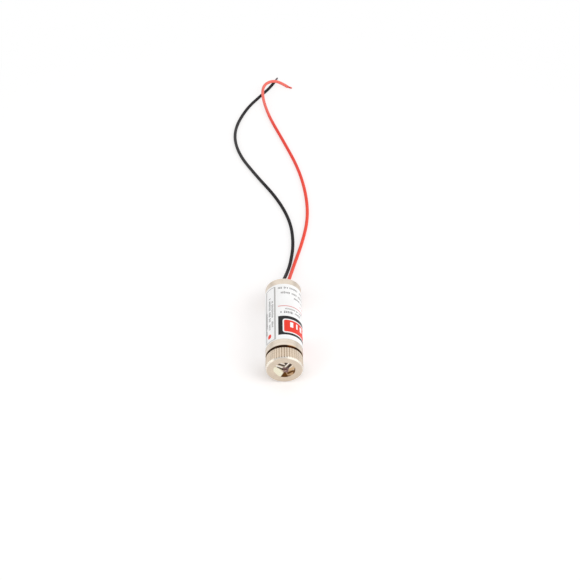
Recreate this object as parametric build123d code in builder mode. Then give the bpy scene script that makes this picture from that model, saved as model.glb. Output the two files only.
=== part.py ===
# Laser diode module: a knurled focus ring screwed into a plated brass barrel, with two loose leads
# Millimetres. The barrel lies along Y with the light leaving towards -Y, and stands on Z = 0.
# The origin is on the floor under the middle of the module's length.

import math
import os

from build123d import *

os.makedirs("parts", exist_ok=True)

# Fits shared by the pieces
glue_gap = 0.01
press_gap = 0.01
seat_gap = 0.02
running_gap = 0.05

# Barrel
barrel_diameter = 12.0
barrel_length = 29.7
thread_wall = 1.5
rear_wall = 1.0
edge_break = 0.1
mouth_chamfer = 0.25

# Focus ring, turned in one piece with its stem; the fine thread on the stem is left off
ring_length = 4.35
ring_gap = 0.95
ring_front_chamfer = 0.4
ring_back_chamfer = 0.1
knurl_count = 44
knurl_depth = 0.2
knurl_angle = 90.0
recess_diameter = 7.0
recess_depth = 0.4
throat_diameter = 1.6
throat_length = 0.5
stem_length = 5.6
stem_wall = 0.9
thread_depth = 0.25
pilot_length = 1.6
pilot_chamfer = 0.2

# Lens, washer and retainer, held in the stem
lens_rim_thickness = 1.0
lens_rim_width = 0.75
lens_sag = 0.9
washer_width = 0.6
washer_thickness = 0.5
retainer_length = 1.4
retainer_width = 1.1
retainer_slot_width = 0.6
retainer_slot_depth = 0.5

# Spring between the stem and the web of the barrel
spring_length = 2.9
spring_wire = 0.4
spring_turns = 3.5
spring_wire_sides = 8

# Laser diode
base_diameter = 5.6
base_thickness = 1.2
base_notch_width = 1.0
base_notch_depth = 0.4
base_notch_turn = 45.0
post_width = 1.5
post_depth = 0.7
post_height = 1.3
submount_width = 0.8
submount_thickness = 0.2
submount_length = 0.9
chip_width = 0.3
chip_thickness = 0.1
chip_length = 0.3
cap_diameter = 3.55
cap_wall = 0.2
cap_height = 2.3
cap_flange_width = 0.4
cap_flange_thickness = 0.25
window_hole_diameter = 1.8
window_rim = 0.35
window_thickness = 0.25
web_reach = 1.6
can_hole_gap = 0.15

# Pins of the diode and their glass seals
pin_diameter = 0.45
pin_reach_inside = 0.4
pin_reach_on_board = 2.2
seal_width = 0.2

# Collar that clamps the diode in its seat
collar_length = 1.5
collar_hole_diameter = 3.8
collar_chamfer = 0.25

# Driver board and what is soldered to it
board_thickness = 0.6
board_side_gap = 0.8
board_front_gap = 0.4
board_rear_gap = 0.4
board_corner = 0.8
transistor_place = 0.40
capacitor_place = 0.67
resistor_place = 0.52
transistor_width = 2.9
transistor_length = 1.3
transistor_height = 1.0
transistor_draft = 5.0
transistor_leg_width = 0.4
transistor_leg_length = 0.55
transistor_leg_thickness = 0.15
transistor_leg_spacing = 0.95
transistor_standoff = 0.1
capacitor_width = 3.2
capacitor_length = 1.6
capacitor_height = 1.4
capacitor_fillet = 0.15
resistor_count = 3
resistor_spacing = 1.5
resistor_width = 0.8
resistor_length = 1.6
resistor_height = 0.45
part_chamfer = 0.08
solder_radius = 0.45
solder_length = 1.3
solder_chamfer = 0.2
solder_setback = 0.3
solder_film = 0.05

# Leads
lead_diameter = 1.2
lead_spacing = 2.0
core_diameter = 0.4
core_length = 1.9
lead_start_depth = 2.7
lead_straight_reach = 1.7
bare_end_diameter = 0.8
black_bare_length = 3.2
red_bare_length = 2.0
bend_share = 0.45

# Seal round the leads in the rear of the barrel
seal_depth = 1.4
seal_recess = 0.35
seal_dome = 0.2

# Label
label_thickness = 0.07
label_front_margin = 2.6
label_rear_margin = 2.6
label_seam_width = 1.4
label_seam_angle = -62.0

# Radii and stations along the barrel that follow from the sizes
barrel_radius = barrel_diameter / 2
thread_bore_radius = barrel_radius - thread_wall
rear_bore_radius = barrel_radius - rear_wall
axis_height = barrel_radius + glue_gap + label_thickness
pilot_radius = thread_bore_radius - running_gap
core_radius = pilot_radius - thread_depth
pocket_radius = core_radius - stem_wall
lens_radius = pocket_radius - seat_gap
pin_radius = pin_diameter / 2
pin_circle_radius = pin_diameter + board_thickness + 2 * solder_film
base_radius = base_diameter / 2
cap_radius = cap_diameter / 2
can_hole_radius = cap_radius + cap_flange_width + can_hole_gap

module_length = ring_length + ring_gap + barrel_length
ring_front = -module_length / 2
ring_back = ring_front + ring_length
stem_end = ring_back + stem_length
barrel_front = ring_back + ring_gap
barrel_rear = barrel_front + barrel_length
lens_seat = ring_front + recess_depth + throat_length
web_front = stem_end + spring_length
base_front = web_front + web_reach
web_rear = base_front + base_thickness
collar_front = web_rear + press_gap
collar_rear = collar_front + collar_length
lead_start = barrel_rear - lead_start_depth
board_front = collar_rear + board_front_gap
board_rear = lead_start - board_rear_gap
board_length = board_rear - board_front
board_top = axis_height - pin_radius - solder_film
board_bottom = board_top - board_thickness

# Planes and axes
optical_axis = Axis((0, 0, axis_height), (0, 1, 0))
profile_plane = Plane((0, 0, axis_height), x_dir=(0, 1, 0), z_dir=(1, 0, 0))


def section_at(y):
    # Plane across the barrel that faces the front, with X to the right and Z up
    return Plane((0, y, axis_height), x_dir=(1, 0, 0), z_dir=(0, -1, 0))


def save(piece, name):
    piece.part.label = name
    export_step(piece.part, f"parts/{name}.step")


# Barrel: threaded mouth, web with the seat of the diode, and the wide bore of the board
with BuildPart() as barrel:
    with BuildSketch(profile_plane):
        with BuildLine():
            Polyline(
                (barrel_front, thread_bore_radius + mouth_chamfer),
                (barrel_front, barrel_radius - edge_break),
                (barrel_front + edge_break, barrel_radius),
                (barrel_rear - edge_break, barrel_radius),
                (barrel_rear, barrel_radius - edge_break),
                (barrel_rear, rear_bore_radius + mouth_chamfer),
                (barrel_rear - mouth_chamfer, rear_bore_radius),
                (web_rear, rear_bore_radius),
                (web_rear, base_radius + press_gap),
                (base_front, base_radius + press_gap),
                (base_front, can_hole_radius),
                (web_front, can_hole_radius),
                (web_front, thread_bore_radius),
                (barrel_front + mouth_chamfer, thread_bore_radius),
                close=True,
            )
        make_face()
    revolve(axis=optical_axis)
save(barrel, "barrel")

# Label: one sheet wrapped round the barrel, with its seam low on the right
label_front = barrel_front + label_front_margin
label_length = barrel_length - label_front_margin - label_rear_margin
label_inner_radius = barrel_radius + glue_gap
label_outer_radius = label_inner_radius + label_thickness
with BuildPart() as label:
    with BuildSketch(section_at(label_front)):
        Circle(label_outer_radius)
        Circle(label_inner_radius, mode=Mode.SUBTRACT)
        with PolarLocations(label_inner_radius, 1, start_angle=label_seam_angle):
            Rectangle(barrel_radius, label_seam_width, mode=Mode.SUBTRACT)
    extrude(amount=-label_length)
save(label, "label")

# Focus ring: knurled head, cone in its face, throat, lens pocket, and the stem with its pilot land
ring_radius = barrel_radius
recess_radius = recess_diameter / 2
throat_radius = throat_diameter / 2
with BuildPart() as focus_ring:
    with BuildSketch(profile_plane):
        with BuildLine():
            Polyline(
                (ring_front, recess_radius),
                (ring_front, ring_radius - ring_front_chamfer),
                (ring_front + ring_front_chamfer, ring_radius),
                (ring_back - ring_back_chamfer, ring_radius),
                (ring_back, ring_radius - ring_back_chamfer),
                (ring_back, core_radius),
                (stem_end - pilot_length, core_radius),
                (stem_end - pilot_length, pilot_radius),
                (stem_end - pilot_chamfer, pilot_radius),
                (stem_end, pilot_radius - pilot_chamfer),
                (stem_end, pocket_radius),
                (lens_seat, pocket_radius),
                (lens_seat, throat_radius),
                (ring_front + recess_depth, throat_radius),
                close=True,
            )
        make_face()
    revolve(axis=optical_axis)
    # Knurl: straight V grooves along the head
    groove_overcut = knurl_depth
    groove_half_width = (knurl_depth + groove_overcut) * math.tan(math.radians(knurl_angle / 2))
    with BuildSketch(section_at(ring_front)):
        with PolarLocations(ring_radius - knurl_depth, knurl_count):
            Polygon(
                (0, 0),
                (knurl_depth + groove_overcut, -groove_half_width),
                (knurl_depth + groove_overcut, groove_half_width),
                align=None,
            )
    extrude(amount=-ring_length, mode=Mode.SUBTRACT)
save(focus_ring, "focus_ring")

# Collimating lens: flat face to the front, dome to the diode
lens_front = lens_seat + seat_gap
lens_rim_back = lens_front + lens_rim_thickness
dome_radius = lens_radius - lens_rim_width
dome_curve = (dome_radius**2 + lens_sag**2) / (2 * lens_sag)
with BuildPart() as collimating_lens:
    with BuildSketch(profile_plane):
        with BuildLine():
            Polyline(
                (lens_rim_back + lens_sag, 0),
                (lens_front, 0),
                (lens_front, lens_radius),
                (lens_rim_back, lens_radius),
                (lens_rim_back, dome_radius),
            )
            RadiusArc((lens_rim_back, dome_radius), (lens_rim_back + lens_sag, 0), dome_curve)
        make_face()
    revolve(axis=optical_axis)
save(collimating_lens, "collimating_lens")

# Lens washer: soft ring behind the rim of the lens
washer_front = lens_rim_back + seat_gap
with BuildPart() as lens_washer:
    with BuildSketch(section_at(washer_front)):
        Circle(lens_radius)
        Circle(lens_radius - washer_width, mode=Mode.SUBTRACT)
    extrude(amount=-washer_thickness)
save(lens_washer, "lens_washer")

# Lens retainer: ring with two spanner slots
retainer_front = washer_front + washer_thickness + seat_gap
retainer_back = retainer_front + retainer_length
with BuildPart() as lens_retainer:
    with BuildSketch(section_at(retainer_front)):
        Circle(lens_radius)
        Circle(lens_radius - retainer_width, mode=Mode.SUBTRACT)
    extrude(amount=-retainer_length)
    with BuildSketch(section_at(retainer_back)):
        Rectangle(2 * lens_radius, retainer_slot_width)
    extrude(amount=retainer_slot_depth, mode=Mode.SUBTRACT)
save(lens_retainer, "lens_retainer")

# Focus spring: open coil between the end of the stem and the web
spring_radius = (pocket_radius + thread_bore_radius) / 2
spring_rise = spring_length - spring_wire - 2 * seat_gap
spring_start = stem_end + seat_gap + spring_wire / 2
with BuildPart() as focus_spring:
    with BuildLine():
        spring_path = Helix(
            pitch=spring_rise / spring_turns,
            height=spring_rise,
            radius=spring_radius,
            center=(0, spring_start, axis_height),
            direction=(0, 1, 0),
        )
    with BuildSketch(Plane(spring_path @ 0, z_dir=spring_path % 0)):
        RegularPolygon(spring_wire / 2, spring_wire_sides)
    sweep(is_frenet=True)
save(focus_spring, "focus_spring")

# Places of the three pins: two beside the axis on top of the board, one under the board
top_pins = [(-pin_circle_radius, 0), (pin_circle_radius, 0)]
case_pin = (0, -pin_circle_radius)
seal_radius = pin_radius + seal_width

# Diode base: notched header with the post that carries the chip
with BuildPart() as diode_base:
    with BuildSketch(section_at(base_front)):
        Circle(base_radius)
        with PolarLocations(base_radius, 2):
            Rectangle(2 * base_notch_depth, base_notch_width, rotation=base_notch_turn, mode=Mode.SUBTRACT)
        with Locations((0, -base_radius)):
            Rectangle(base_notch_width, 2 * base_notch_depth, mode=Mode.SUBTRACT)
        with Locations(*top_pins):
            Circle(seal_radius, mode=Mode.SUBTRACT)
    extrude(amount=-base_thickness)
    with BuildSketch(section_at(base_front)):
        with Locations((0, -post_depth / 2 - submount_thickness)):
            Rectangle(post_width, post_depth)
    extrude(amount=post_height)
save(diode_base, "diode_base")

# Pin seals: two glass beads in the header
with BuildPart() as pin_seals:
    with BuildSketch(section_at(base_front)):
        with Locations(*top_pins):
            Circle(seal_radius - press_gap)
            Circle(pin_radius + press_gap, mode=Mode.SUBTRACT)
    extrude(amount=-base_thickness)
save(pin_seals, "pin_seals")

# Diode pins: two through the seals, one welded to the back of the header
pin_end = board_front + pin_reach_on_board
with BuildPart() as diode_pins:
    with BuildSketch(section_at(base_front - pin_reach_inside)):
        with Locations(*top_pins):
            Circle(pin_radius)
    extrude(amount=-(pin_end - base_front + pin_reach_inside))
    with BuildSketch(section_at(web_rear + press_gap)):
        with Locations(case_pin):
            Circle(pin_radius)
    extrude(amount=-(pin_end - web_rear - press_gap))
save(diode_pins, "diode_pins")

# Chip submount on the top of the post, and the laser chip on it, level with the axis
post_front = base_front - post_height
with BuildPart() as chip_submount:
    with BuildSketch(section_at(post_front + submount_length)):
        with Locations((0, -submount_thickness / 2 + press_gap / 2)):
            Rectangle(submount_width, submount_thickness - press_gap)
    extrude(amount=submount_length)
save(chip_submount, "chip_submount")

with BuildPart() as laser_chip:
    with BuildSketch(section_at(post_front + chip_length)):
        with Locations((0, chip_thickness / 2 + press_gap)):
            Rectangle(chip_width, chip_thickness)
    extrude(amount=chip_length)
save(laser_chip, "laser_chip")

# Diode cap: drawn can with a flange at its foot and a hole for the window
cap_foot = base_front - press_gap
cap_top = cap_foot - cap_height
window_hole_radius = window_hole_diameter / 2
with BuildPart() as diode_cap:
    with BuildSketch(profile_plane):
        with BuildLine():
            Polyline(
                (cap_foot, cap_radius - cap_wall),
                (cap_foot, cap_radius + cap_flange_width),
                (cap_foot - cap_flange_thickness, cap_radius + cap_flange_width),
                (cap_foot - cap_flange_thickness, cap_radius),
                (cap_top, cap_radius),
                (cap_top, window_hole_radius),
                (cap_top + cap_wall, window_hole_radius),
                (cap_top + cap_wall, cap_radius - cap_wall),
                close=True,
            )
        make_face()
    revolve(axis=optical_axis)
save(diode_cap, "diode_cap")

# Diode window: glass disc sealed inside the top of the cap
with BuildPart() as diode_window:
    with BuildSketch(section_at(cap_top + cap_wall + press_gap)):
        Circle(window_hole_radius + window_rim)
    extrude(amount=-window_thickness)
save(diode_window, "diode_window")

# Diode collar: pressed into the rear bore, it clamps the header in its seat
with BuildPart() as diode_collar:
    with BuildSketch(section_at(collar_front)):
        Circle(rear_bore_radius - press_gap)
        Circle(collar_hole_diameter / 2, mode=Mode.SUBTRACT)
    extrude(amount=-collar_length)
    rims = diode_collar.edges().filter_by(GeomType.CIRCLE).group_by(Axis.Y)[-1]
    chamfer(rims, collar_chamfer)
save(diode_collar, "diode_collar")

# Driver board, with its front corners cut back
board_width = 2 * (rear_bore_radius - board_side_gap)
with BuildPart() as driver_board:
    with BuildSketch(Plane.XY.offset(board_bottom)):
        with Locations((0, (board_front + board_rear) / 2)):
            Rectangle(board_width, board_length)
    extrude(amount=board_thickness)
    front_corners = driver_board.edges().filter_by(Axis.Z).group_by(Axis.Y)[0]
    chamfer(front_corners, board_corner)
save(driver_board, "driver_board")

# Driver transistor: moulded body on three short legs
transistor_y = board_front + transistor_place * board_length
transistor_foot = board_top + seat_gap
leg_row = transistor_length / 2 + transistor_leg_length / 2
with BuildPart() as driver_transistor:
    with BuildSketch(Plane.XY.offset(transistor_foot + transistor_standoff)):
        with Locations((0, transistor_y)):
            Rectangle(transistor_width, transistor_length)
    extrude(amount=transistor_height, taper=transistor_draft)
    with BuildSketch(Plane.XY.offset(transistor_foot)):
        with Locations(
            (-transistor_leg_spacing, transistor_y + leg_row),
            (transistor_leg_spacing, transistor_y + leg_row),
            (0, transistor_y - leg_row),
        ):
            Rectangle(transistor_leg_width, transistor_leg_length)
        with Locations(
            (-transistor_leg_spacing, transistor_y),
            (transistor_leg_spacing, transistor_y),
            (0, transistor_y),
        ):
            Rectangle(transistor_leg_width, transistor_length)
    extrude(amount=transistor_standoff + transistor_leg_thickness)
save(driver_transistor, "driver_transistor")

# Capacitor: moulded block across the board
capacitor_y = board_front + capacitor_place * board_length
with BuildPart() as capacitor:
    with BuildSketch(Plane.XY.offset(board_top + seat_gap)):
        with Locations((0, capacitor_y)):
            Rectangle(capacitor_width, capacitor_length)
    extrude(amount=capacitor_height)
    fillet(capacitor.edges().group_by(Axis.Z)[-1], capacitor_fillet)
save(capacitor, "capacitor")

# Resistors: a row under the board
resistor_y = board_front + resistor_place * board_length
with BuildPart() as resistors:
    with BuildSketch(Plane.XY.offset(board_bottom - seat_gap)):
        with Locations((0, resistor_y)):
            with GridLocations(resistor_spacing, 1, resistor_count, 1):
                Rectangle(resistor_width, resistor_length)
    extrude(amount=-resistor_height)
    chamfer(resistors.edges().group_by(Axis.Z)[0], part_chamfer)
save(resistors, "resistors")

# Lead cores: the stripped inner ends of the leads, lying on the board
lead_places = [(-lead_spacing / 2, 0), (lead_spacing / 2, 0)]
core_start = lead_start - core_length
with BuildPart() as lead_cores:
    with BuildSketch(section_at(core_start)):
        with Locations(*lead_places):
            Circle(core_diameter / 2)
    extrude(amount=-(core_length - seat_gap))
save(lead_cores, "lead_cores")


def solder_mound(y, place, hole_radius, board_face):
    # Mound round a wire that lies along Y, narrower at its ends and flat at the face of the board
    above = place[1] + axis_height > board_face
    with BuildPart() as mound:
        with BuildSketch(section_at(y)):
            with Locations(place):
                Circle(solder_radius)
        extrude(amount=-solder_length)
        chamfer(mound.edges().filter_by(GeomType.CIRCLE), solder_chamfer)
        split(bisect_by=Plane.XY.offset(board_face), keep=Keep.TOP if above else Keep.BOTTOM)
        with BuildSketch(section_at(y)):
            with Locations(place):
                Circle(hole_radius)
        extrude(amount=-solder_length, mode=Mode.SUBTRACT)
    return mound.part


# Pin solder: the three joints between the diode and the board
pin_solder_y = board_front + solder_setback
with BuildPart() as pin_solder:
    for pin_place in top_pins:
        add(solder_mound(pin_solder_y, pin_place, pin_radius + press_gap, board_top + press_gap))
    add(solder_mound(pin_solder_y, case_pin, pin_radius + press_gap, board_bottom - press_gap))
save(pin_solder, "pin_solder")

# Lead solder: the two joints of the leads, at the rear of the board
lead_solder_y = board_rear - solder_setback - solder_length
with BuildPart() as lead_solder:
    for lead_place in lead_places:
        add(solder_mound(lead_solder_y, lead_place, core_diameter / 2 + press_gap, board_top + press_gap))
save(lead_solder, "lead_solder")

# Rear seal: resin poured round the leads, its face a little below the rim and slightly domed
seal_rear = barrel_rear - seal_recess
seal_front = seal_rear - seal_depth
seal_radius_outer = rear_bore_radius - press_gap
seal_face_curve = (seal_radius_outer**2 + seal_dome**2) / (2 * seal_dome)
with BuildPart() as rear_seal:
    with BuildSketch(profile_plane):
        with BuildLine():
            Polyline(
                (seal_rear + seal_dome, 0),
                (seal_front, 0),
                (seal_front, seal_radius_outer),
                (seal_rear, seal_radius_outer),
            )
            RadiusArc((seal_rear, seal_radius_outer), (seal_rear + seal_dome, 0), seal_face_curve)
        make_face()
    revolve(axis=optical_axis)
    with BuildSketch(section_at(seal_front)):
        with Locations(*lead_places):
            Circle(lead_diameter / 2 + seat_gap)
    extrude(amount=-(seal_depth + seal_dome), mode=Mode.SUBTRACT)
save(rear_seal, "rear_seal")

# Routes of the leads: out of the barrel, down to the floor, and away behind the module
black_route = [
    (-lead_spacing / 2, lead_start, axis_height),
    (-lead_spacing / 2, barrel_rear + lead_straight_reach, axis_height),
    (0.4, 24.2, 5.2),
    (1.4, 29.8, 2.5),
    (2.7, 36.4, 0.6),
    (4.0, 46.5, 0.6),
    (3.1, 58.5, 0.6),
    (-1.6, 71.5, 0.6),
    (-9.8, 85.3, 0.6),
    (-16.8, 98.8, 0.6),
    (-18.8, 112.5, 0.6),
    (-14.2, 127.1, 0.6),
    (-7.4, 137.4, 0.6),
    (-4.1, 142.2, 0.6),
    (-2.3, 146.2, 0.6),
]
red_route = [
    (lead_spacing / 2, lead_start, axis_height),
    (lead_spacing / 2, barrel_rear + lead_straight_reach, axis_height),
    (2.1, 24.2, 5.2),
    (2.9, 29.8, 2.5),
    (4.2, 36.6, 0.6),
    (7.1, 47.2, 0.6),
    (9.5, 60.0, 0.6),
    (9.2, 74.0, 0.6),
    (6.5, 89.5, 0.6),
    (0.7, 107.0, 0.6),
    (-4.2, 121.0, 0.6),
    (-6.6, 130.6, 1.1),
    (-7.3, 136.2, 2.2),
    (-6.9, 140.4, 2.3),
    (-5.3, 143.3, 2.3),
    (-2.4, 144.6, 2.3),
    (0.6, 143.8, 1.7),
    (3.2, 142.4, 0.75),
]


def corner_radii(route):
    # Each bend is as large as its two runs allow
    points = [Vector(*point) for point in route]
    radii = []
    for before, corner, after in zip(points, points[1:], points[2:]):
        run_in = corner - before
        run_out = after - corner
        half_turn = math.radians(run_in.get_angle(run_out) / 2)
        radii.append(bend_share * min(run_in.length, run_out.length) / math.tan(half_turn))
    return radii


def make_lead(route, name):
    # Round insulated lead along straight runs and tangent arcs
    radii = corner_radii(route)
    with BuildPart() as lead:
        with BuildLine():
            path = FilletPolyline(*route, radius=radii)
        with BuildSketch(Plane(path @ 0, z_dir=path % 0)):
            Circle(lead_diameter / 2)
        sweep()
    save(lead, name)
    tube_volume = path.length * math.pi * lead_diameter**2 / 4
    print(name, "length", round(path.length, 1), "bend radii", [round(radius, 1) for radius in radii])
    print(name, "volume", round(lead.part.volume, 2), "section times length", round(tube_volume, 2))


def make_bare_end(route, bare_length, name):
    # Tinned strands that stand out of the end of the insulation
    end = Vector(*route[-1])
    along = (end - Vector(*route[-2])).normalized()
    level = Vector(along.X, along.Y, 0).normalized()
    with BuildPart() as bare_end:
        with BuildSketch(Plane(end + along * seat_gap, z_dir=level)):
            Circle(bare_end_diameter / 2)
        extrude(amount=bare_length)
    save(bare_end, name)


make_lead(black_route, "black_lead")
make_lead(red_route, "red_lead")
make_bare_end(black_route, black_bare_length, "black_lead_end")
make_bare_end(red_route, red_bare_length, "red_lead_end")
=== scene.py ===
# A focusable laser diode module that lies on a pale table, its two leads loose behind it.
# Metres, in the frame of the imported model: the light leaves towards -Y, the leads leave towards +Y, Z is up.
import math

import bpy
import bmesh
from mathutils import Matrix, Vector


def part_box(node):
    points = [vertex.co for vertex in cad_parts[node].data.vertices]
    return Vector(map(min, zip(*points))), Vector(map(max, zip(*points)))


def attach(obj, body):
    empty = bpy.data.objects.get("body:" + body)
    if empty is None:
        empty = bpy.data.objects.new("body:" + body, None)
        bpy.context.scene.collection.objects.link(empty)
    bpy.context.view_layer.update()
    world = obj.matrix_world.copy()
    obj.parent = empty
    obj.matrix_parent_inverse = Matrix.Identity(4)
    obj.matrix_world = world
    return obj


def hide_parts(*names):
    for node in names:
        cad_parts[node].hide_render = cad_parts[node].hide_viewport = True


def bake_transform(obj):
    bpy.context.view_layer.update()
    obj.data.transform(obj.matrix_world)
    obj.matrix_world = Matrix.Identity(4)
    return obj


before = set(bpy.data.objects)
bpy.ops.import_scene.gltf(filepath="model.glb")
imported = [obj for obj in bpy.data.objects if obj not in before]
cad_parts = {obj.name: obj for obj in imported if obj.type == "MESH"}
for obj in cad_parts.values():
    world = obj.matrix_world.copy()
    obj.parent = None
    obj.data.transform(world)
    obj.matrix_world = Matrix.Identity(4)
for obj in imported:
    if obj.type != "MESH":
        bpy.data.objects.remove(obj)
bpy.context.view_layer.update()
mm = 0.001

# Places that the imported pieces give
barrelLow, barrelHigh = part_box("barrel")
axisHeight = (barrelLow.z + barrelHigh.z) / 2
barrelRadius = (barrelHigh.x - barrelLow.x) / 2
barrelFront, barrelRear = barrelLow.y, barrelHigh.y
ringFront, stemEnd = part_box("focus_ring")[0].y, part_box("focus_ring")[1].y
labelLow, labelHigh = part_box("label")
print("frame loaded:", len(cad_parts), "nodes, axis", round(axisHeight / mm, 3), "mm above the table")


# Camera

viewpoint = {
    "place": (-1.86 * mm, -254.9 * mm, 281.38 * mm),
    "degreesDown": 45.25,
    "degreesTurned": -0.87,
    "focalPixels": 1150,
    "picturePixels": 580,
}

cameraData = bpy.data.cameras.new("studioCamera")
cameraData.sensor_width = 36
cameraData.lens = viewpoint["focalPixels"] / viewpoint["picturePixels"] * cameraData.sensor_width
cameraData.clip_start = 0.01
camera = bpy.data.objects.new("studioCamera", cameraData)
camera.location = viewpoint["place"]
camera.rotation_euler = (
    math.radians(90 - viewpoint["degreesDown"]), 0, math.radians(viewpoint["degreesTurned"]))
bpy.context.scene.collection.objects.link(camera)
bpy.context.scene.camera = camera


# Small tools for node trees

def fillSockets(node, values):
    # Each value is a socket to link or a plain value to set
    for name, value in values.items():
        if isinstance(value, bpy.types.NodeSocket):
            node.id_data.links.new(value, node.inputs[name])
        else:
            node.inputs[name].default_value = value


def addNode(tree, kind, inputs=None, **settings):
    # Gives the outputs of the new node
    node = tree.nodes.new(kind)
    for name, value in settings.items():
        setattr(node, name, value)
    fillSockets(node, inputs or {})
    return node.outputs


def treeOf(values):
    # The tools below work in the tree of the first socket that they are given
    return next(value.id_data for value in values if isinstance(value, bpy.types.NodeSocket))


def calc(operation, *values, clamp=False):
    inputs = dict(enumerate(values))
    return addNode(treeOf(values), "ShaderNodeMath", inputs, operation=operation, use_clamp=clamp)[0]


def times(first, *others):
    for other in others:
        first = calc("MULTIPLY", first, other)
    return first


def plus(first, second):
    return calc("ADD", first, second)


def minus(first, second):
    return calc("SUBTRACT", first, second)


def lengthOf(across, up):
    return calc("SQRT", plus(times(across, across), times(up, up)))


def vectorCalc(operation, *values, **named):
    inputs = {**dict(enumerate(values)), **named}
    made = addNode(treeOf(inputs.values()), "ShaderNodeVectorMath", inputs, operation=operation)
    return made["Value" if operation in ("DOT_PRODUCT", "DISTANCE") else "Vector"]


def splitVector(vector):
    return addNode(vector.id_data, "ShaderNodeSeparateXYZ", {0: vector})


def joinVector(*values):
    return addNode(treeOf(values), "ShaderNodeCombineXYZ", dict(enumerate(values)))[0]


def mixColours(share, first, second):
    # The colour sockets of this node are its inputs 6 and 7 and its output 2
    inputs = {0: share, 6: first, 7: second}
    return addNode(treeOf(inputs.values()), "ShaderNodeMix", inputs, data_type="RGBA")[2]


def ramp(value, low, high, toLow=0.0, toHigh=1.0, smooth=True):
    return addNode(value.id_data, "ShaderNodeMapRange", {
        "Value": value, "From Min": low, "From Max": high, "To Min": toLow, "To Max": toHigh},
        interpolation_type="SMOOTHSTEP" if smooth else "LINEAR")["Result"]


def objectPlace(tree):
    return addNode(tree, "ShaderNodeTexCoord")["Object"]


def noiseAt(place, scale, detail, **others):
    inputs = {"Vector": place, "Scale": scale, "Detail": detail, **others}
    dimensions = "4D" if "W" in others else "3D"
    return addNode(place.id_data, "ShaderNodeTexNoise", inputs, noise_dimensions=dimensions)["Fac"]


def newGroup(name, kind, inputs, *outputs):
    # The value of an input gives its kind, and an input without one names its kind instead
    tree = bpy.data.node_groups.new(name, kind)
    sockets = [("INPUT", socketName, value) for socketName, value in inputs.items()]
    outputKind = "Geometry" if kind == "GeometryNodeTree" else "Float"
    sockets += [("OUTPUT", socketName, outputKind) for socketName in outputs]
    for side, socketName, value in sockets:
        kindName = {float: "Float", int: "Int", tuple: "Vector"}.get(type(value), value)
        socket = tree.interface.new_socket(name=socketName, in_out=side, socket_type="NodeSocket" + kindName)
        if value != kindName:
            socket.default_value = value
    return tree, tree.nodes.new("NodeGroupInput").outputs, tree.nodes.new("NodeGroupOutput").inputs


def useGroup(tree, group, inputs=None):
    return addNode(tree, "ShaderNodeGroup", inputs, node_tree=group)


def newMaterial(name, finish):
    material = bpy.data.materials.new(name)
    material.use_nodes = True
    tree = material.node_tree
    shader = tree.nodes["Principled BSDF"]
    fillSockets(shader, finish)
    return material, tree, shader


def finishSurface(shader, tone, roughness, height, strength, depth):
    # The bump comes from a height of 0 to 1, and its depth is in mm
    bump = addNode(shader.id_data, "ShaderNodeBump", {
        "Height": height, "Strength": strength, "Distance": depth * mm})
    fillSockets(shader, {"Base Color": tone, "Roughness": roughness, "Normal": bump["Normal"]})


def colour(red, green, blue):
    # 0 to 255 as a picture shows it, to the linear values that a socket takes
    levels = [c / 255 for c in (red, green, blue)]
    return tuple(((c + 0.055) / 1.055) ** 2.4 if c > 0.04 else c / 12.92 for c in levels) + (1,)


# Surface effects that several finishes share

def buildTurningMarks():
    # Fine rings that a lathe tool leaves: they run round the axis and change along it and outwards
    tree, given, made = newGroup("turningMarks", "ShaderNodeTree", {
        "Axis Height": axisHeight, "Marks Per mm": 8.0, "Waver": 0.15}, "Height", "Streak")
    part = splitVector(objectPlace(tree))
    rise = minus(part[2], given["Axis Height"])
    angle = calc("ARCTAN2", rise, part[0])
    scale = calc("DIVIDE", given["Marks Per mm"], mm)
    line = joinVector(
        times(part[1], scale), times(lengthOf(part[0], rise), scale),
        times(calc("COSINE", angle), given["Waver"]))
    tree.links.new(noiseAt(line, 1.0, 3.0, Roughness=0.6), made["Height"])
    tree.links.new(noiseAt(line, 0.23, 1.0), made["Streak"])
    return tree


def buildPatina():
    # Slow drift of tone and small specks, as handling leaves on a plated or moulded surface
    tree, given, made = newGroup("patina", "ShaderNodeTree", {
        "Patch Size mm": 2.5, "Speck Size mm": 0.25, "Seed": 0.0}, "Drift", "Speck")
    place = objectPlace(tree)
    for sizeName, detail, low, high, outputName in (
            ("Patch Size mm", 3.0, 0.35, 0.65, "Drift"), ("Speck Size mm", 2.0, 0.62, 0.72, "Speck")):
        noise = noiseAt(place, calc("DIVIDE", 1 / mm, given[sizeName]), detail, W=given["Seed"])
        tree.links.new(ramp(noise, low, high), made[outputName])
    return tree


def buildEdgeWear():
    # One along sharp edges and nothing on open faces, broken up so that it doesn't look drawn
    tree, given, made = newGroup("edgeWear", "ShaderNodeTree", {"Width mm": 0.1, "Breakup": 0.6}, "Wear")
    softened = addNode(tree, "ShaderNodeBevel", {"Radius": times(given["Width mm"], mm)}, samples=4)[0]
    plain = addNode(tree, "ShaderNodeNewGeometry")["Normal"]
    edge = ramp(vectorCalc("DOT_PRODUCT", softened, plain), 0.995, 0.90)
    broken = ramp(noiseAt(objectPlace(tree), 2.2 / mm, 3.0), 0.38, 0.58)
    kept = minus(1.0, times(given["Breakup"], minus(1.0, broken)))
    tree.links.new(times(edge, kept), made["Wear"])
    return tree


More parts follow.
